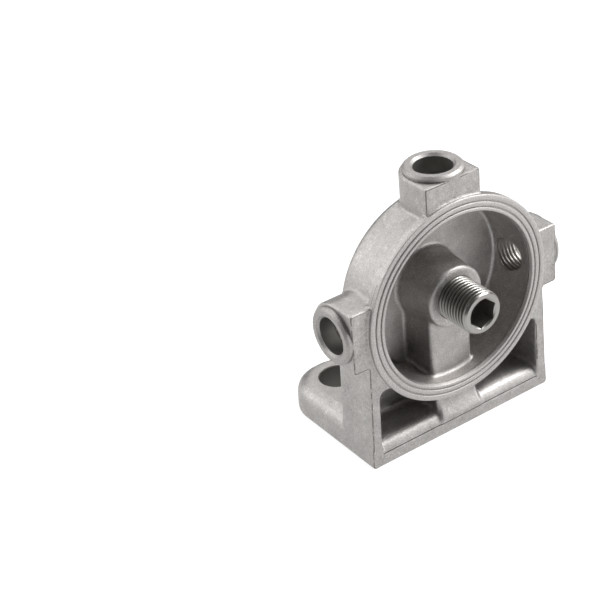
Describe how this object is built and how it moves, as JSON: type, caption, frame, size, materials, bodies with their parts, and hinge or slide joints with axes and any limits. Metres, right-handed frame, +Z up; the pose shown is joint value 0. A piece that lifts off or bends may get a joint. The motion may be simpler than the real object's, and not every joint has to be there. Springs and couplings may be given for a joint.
{
  "type": "fuel filter head",
  "caption": "Cast aluminium head for a spin-on fuel filter: open bowl with sealing rim, hollow threaded stud, collared ports and a bolted foot with a rear rib.",
  "frame": {"origin": "midway between the two bolt holes, on the underside of the foot", "axes": "+Z up, square to the mounting face; +X right seen from the open bowl; the bowl and the stud face -Y and the foot reaches back along +Y"},
  "size_m": [0.0942, 0.0692, 0.1023],
  "materials": {
    "cast_aluminium": "shot-blasted casting with machined faces",
    "plated_steel": "bright plated, cut thread"
  },
  "bodies": {
    "root": {"head_casting": "cast_aluminium", "spin_on_stud": "plated_steel"}
  },
  "joints": []
}
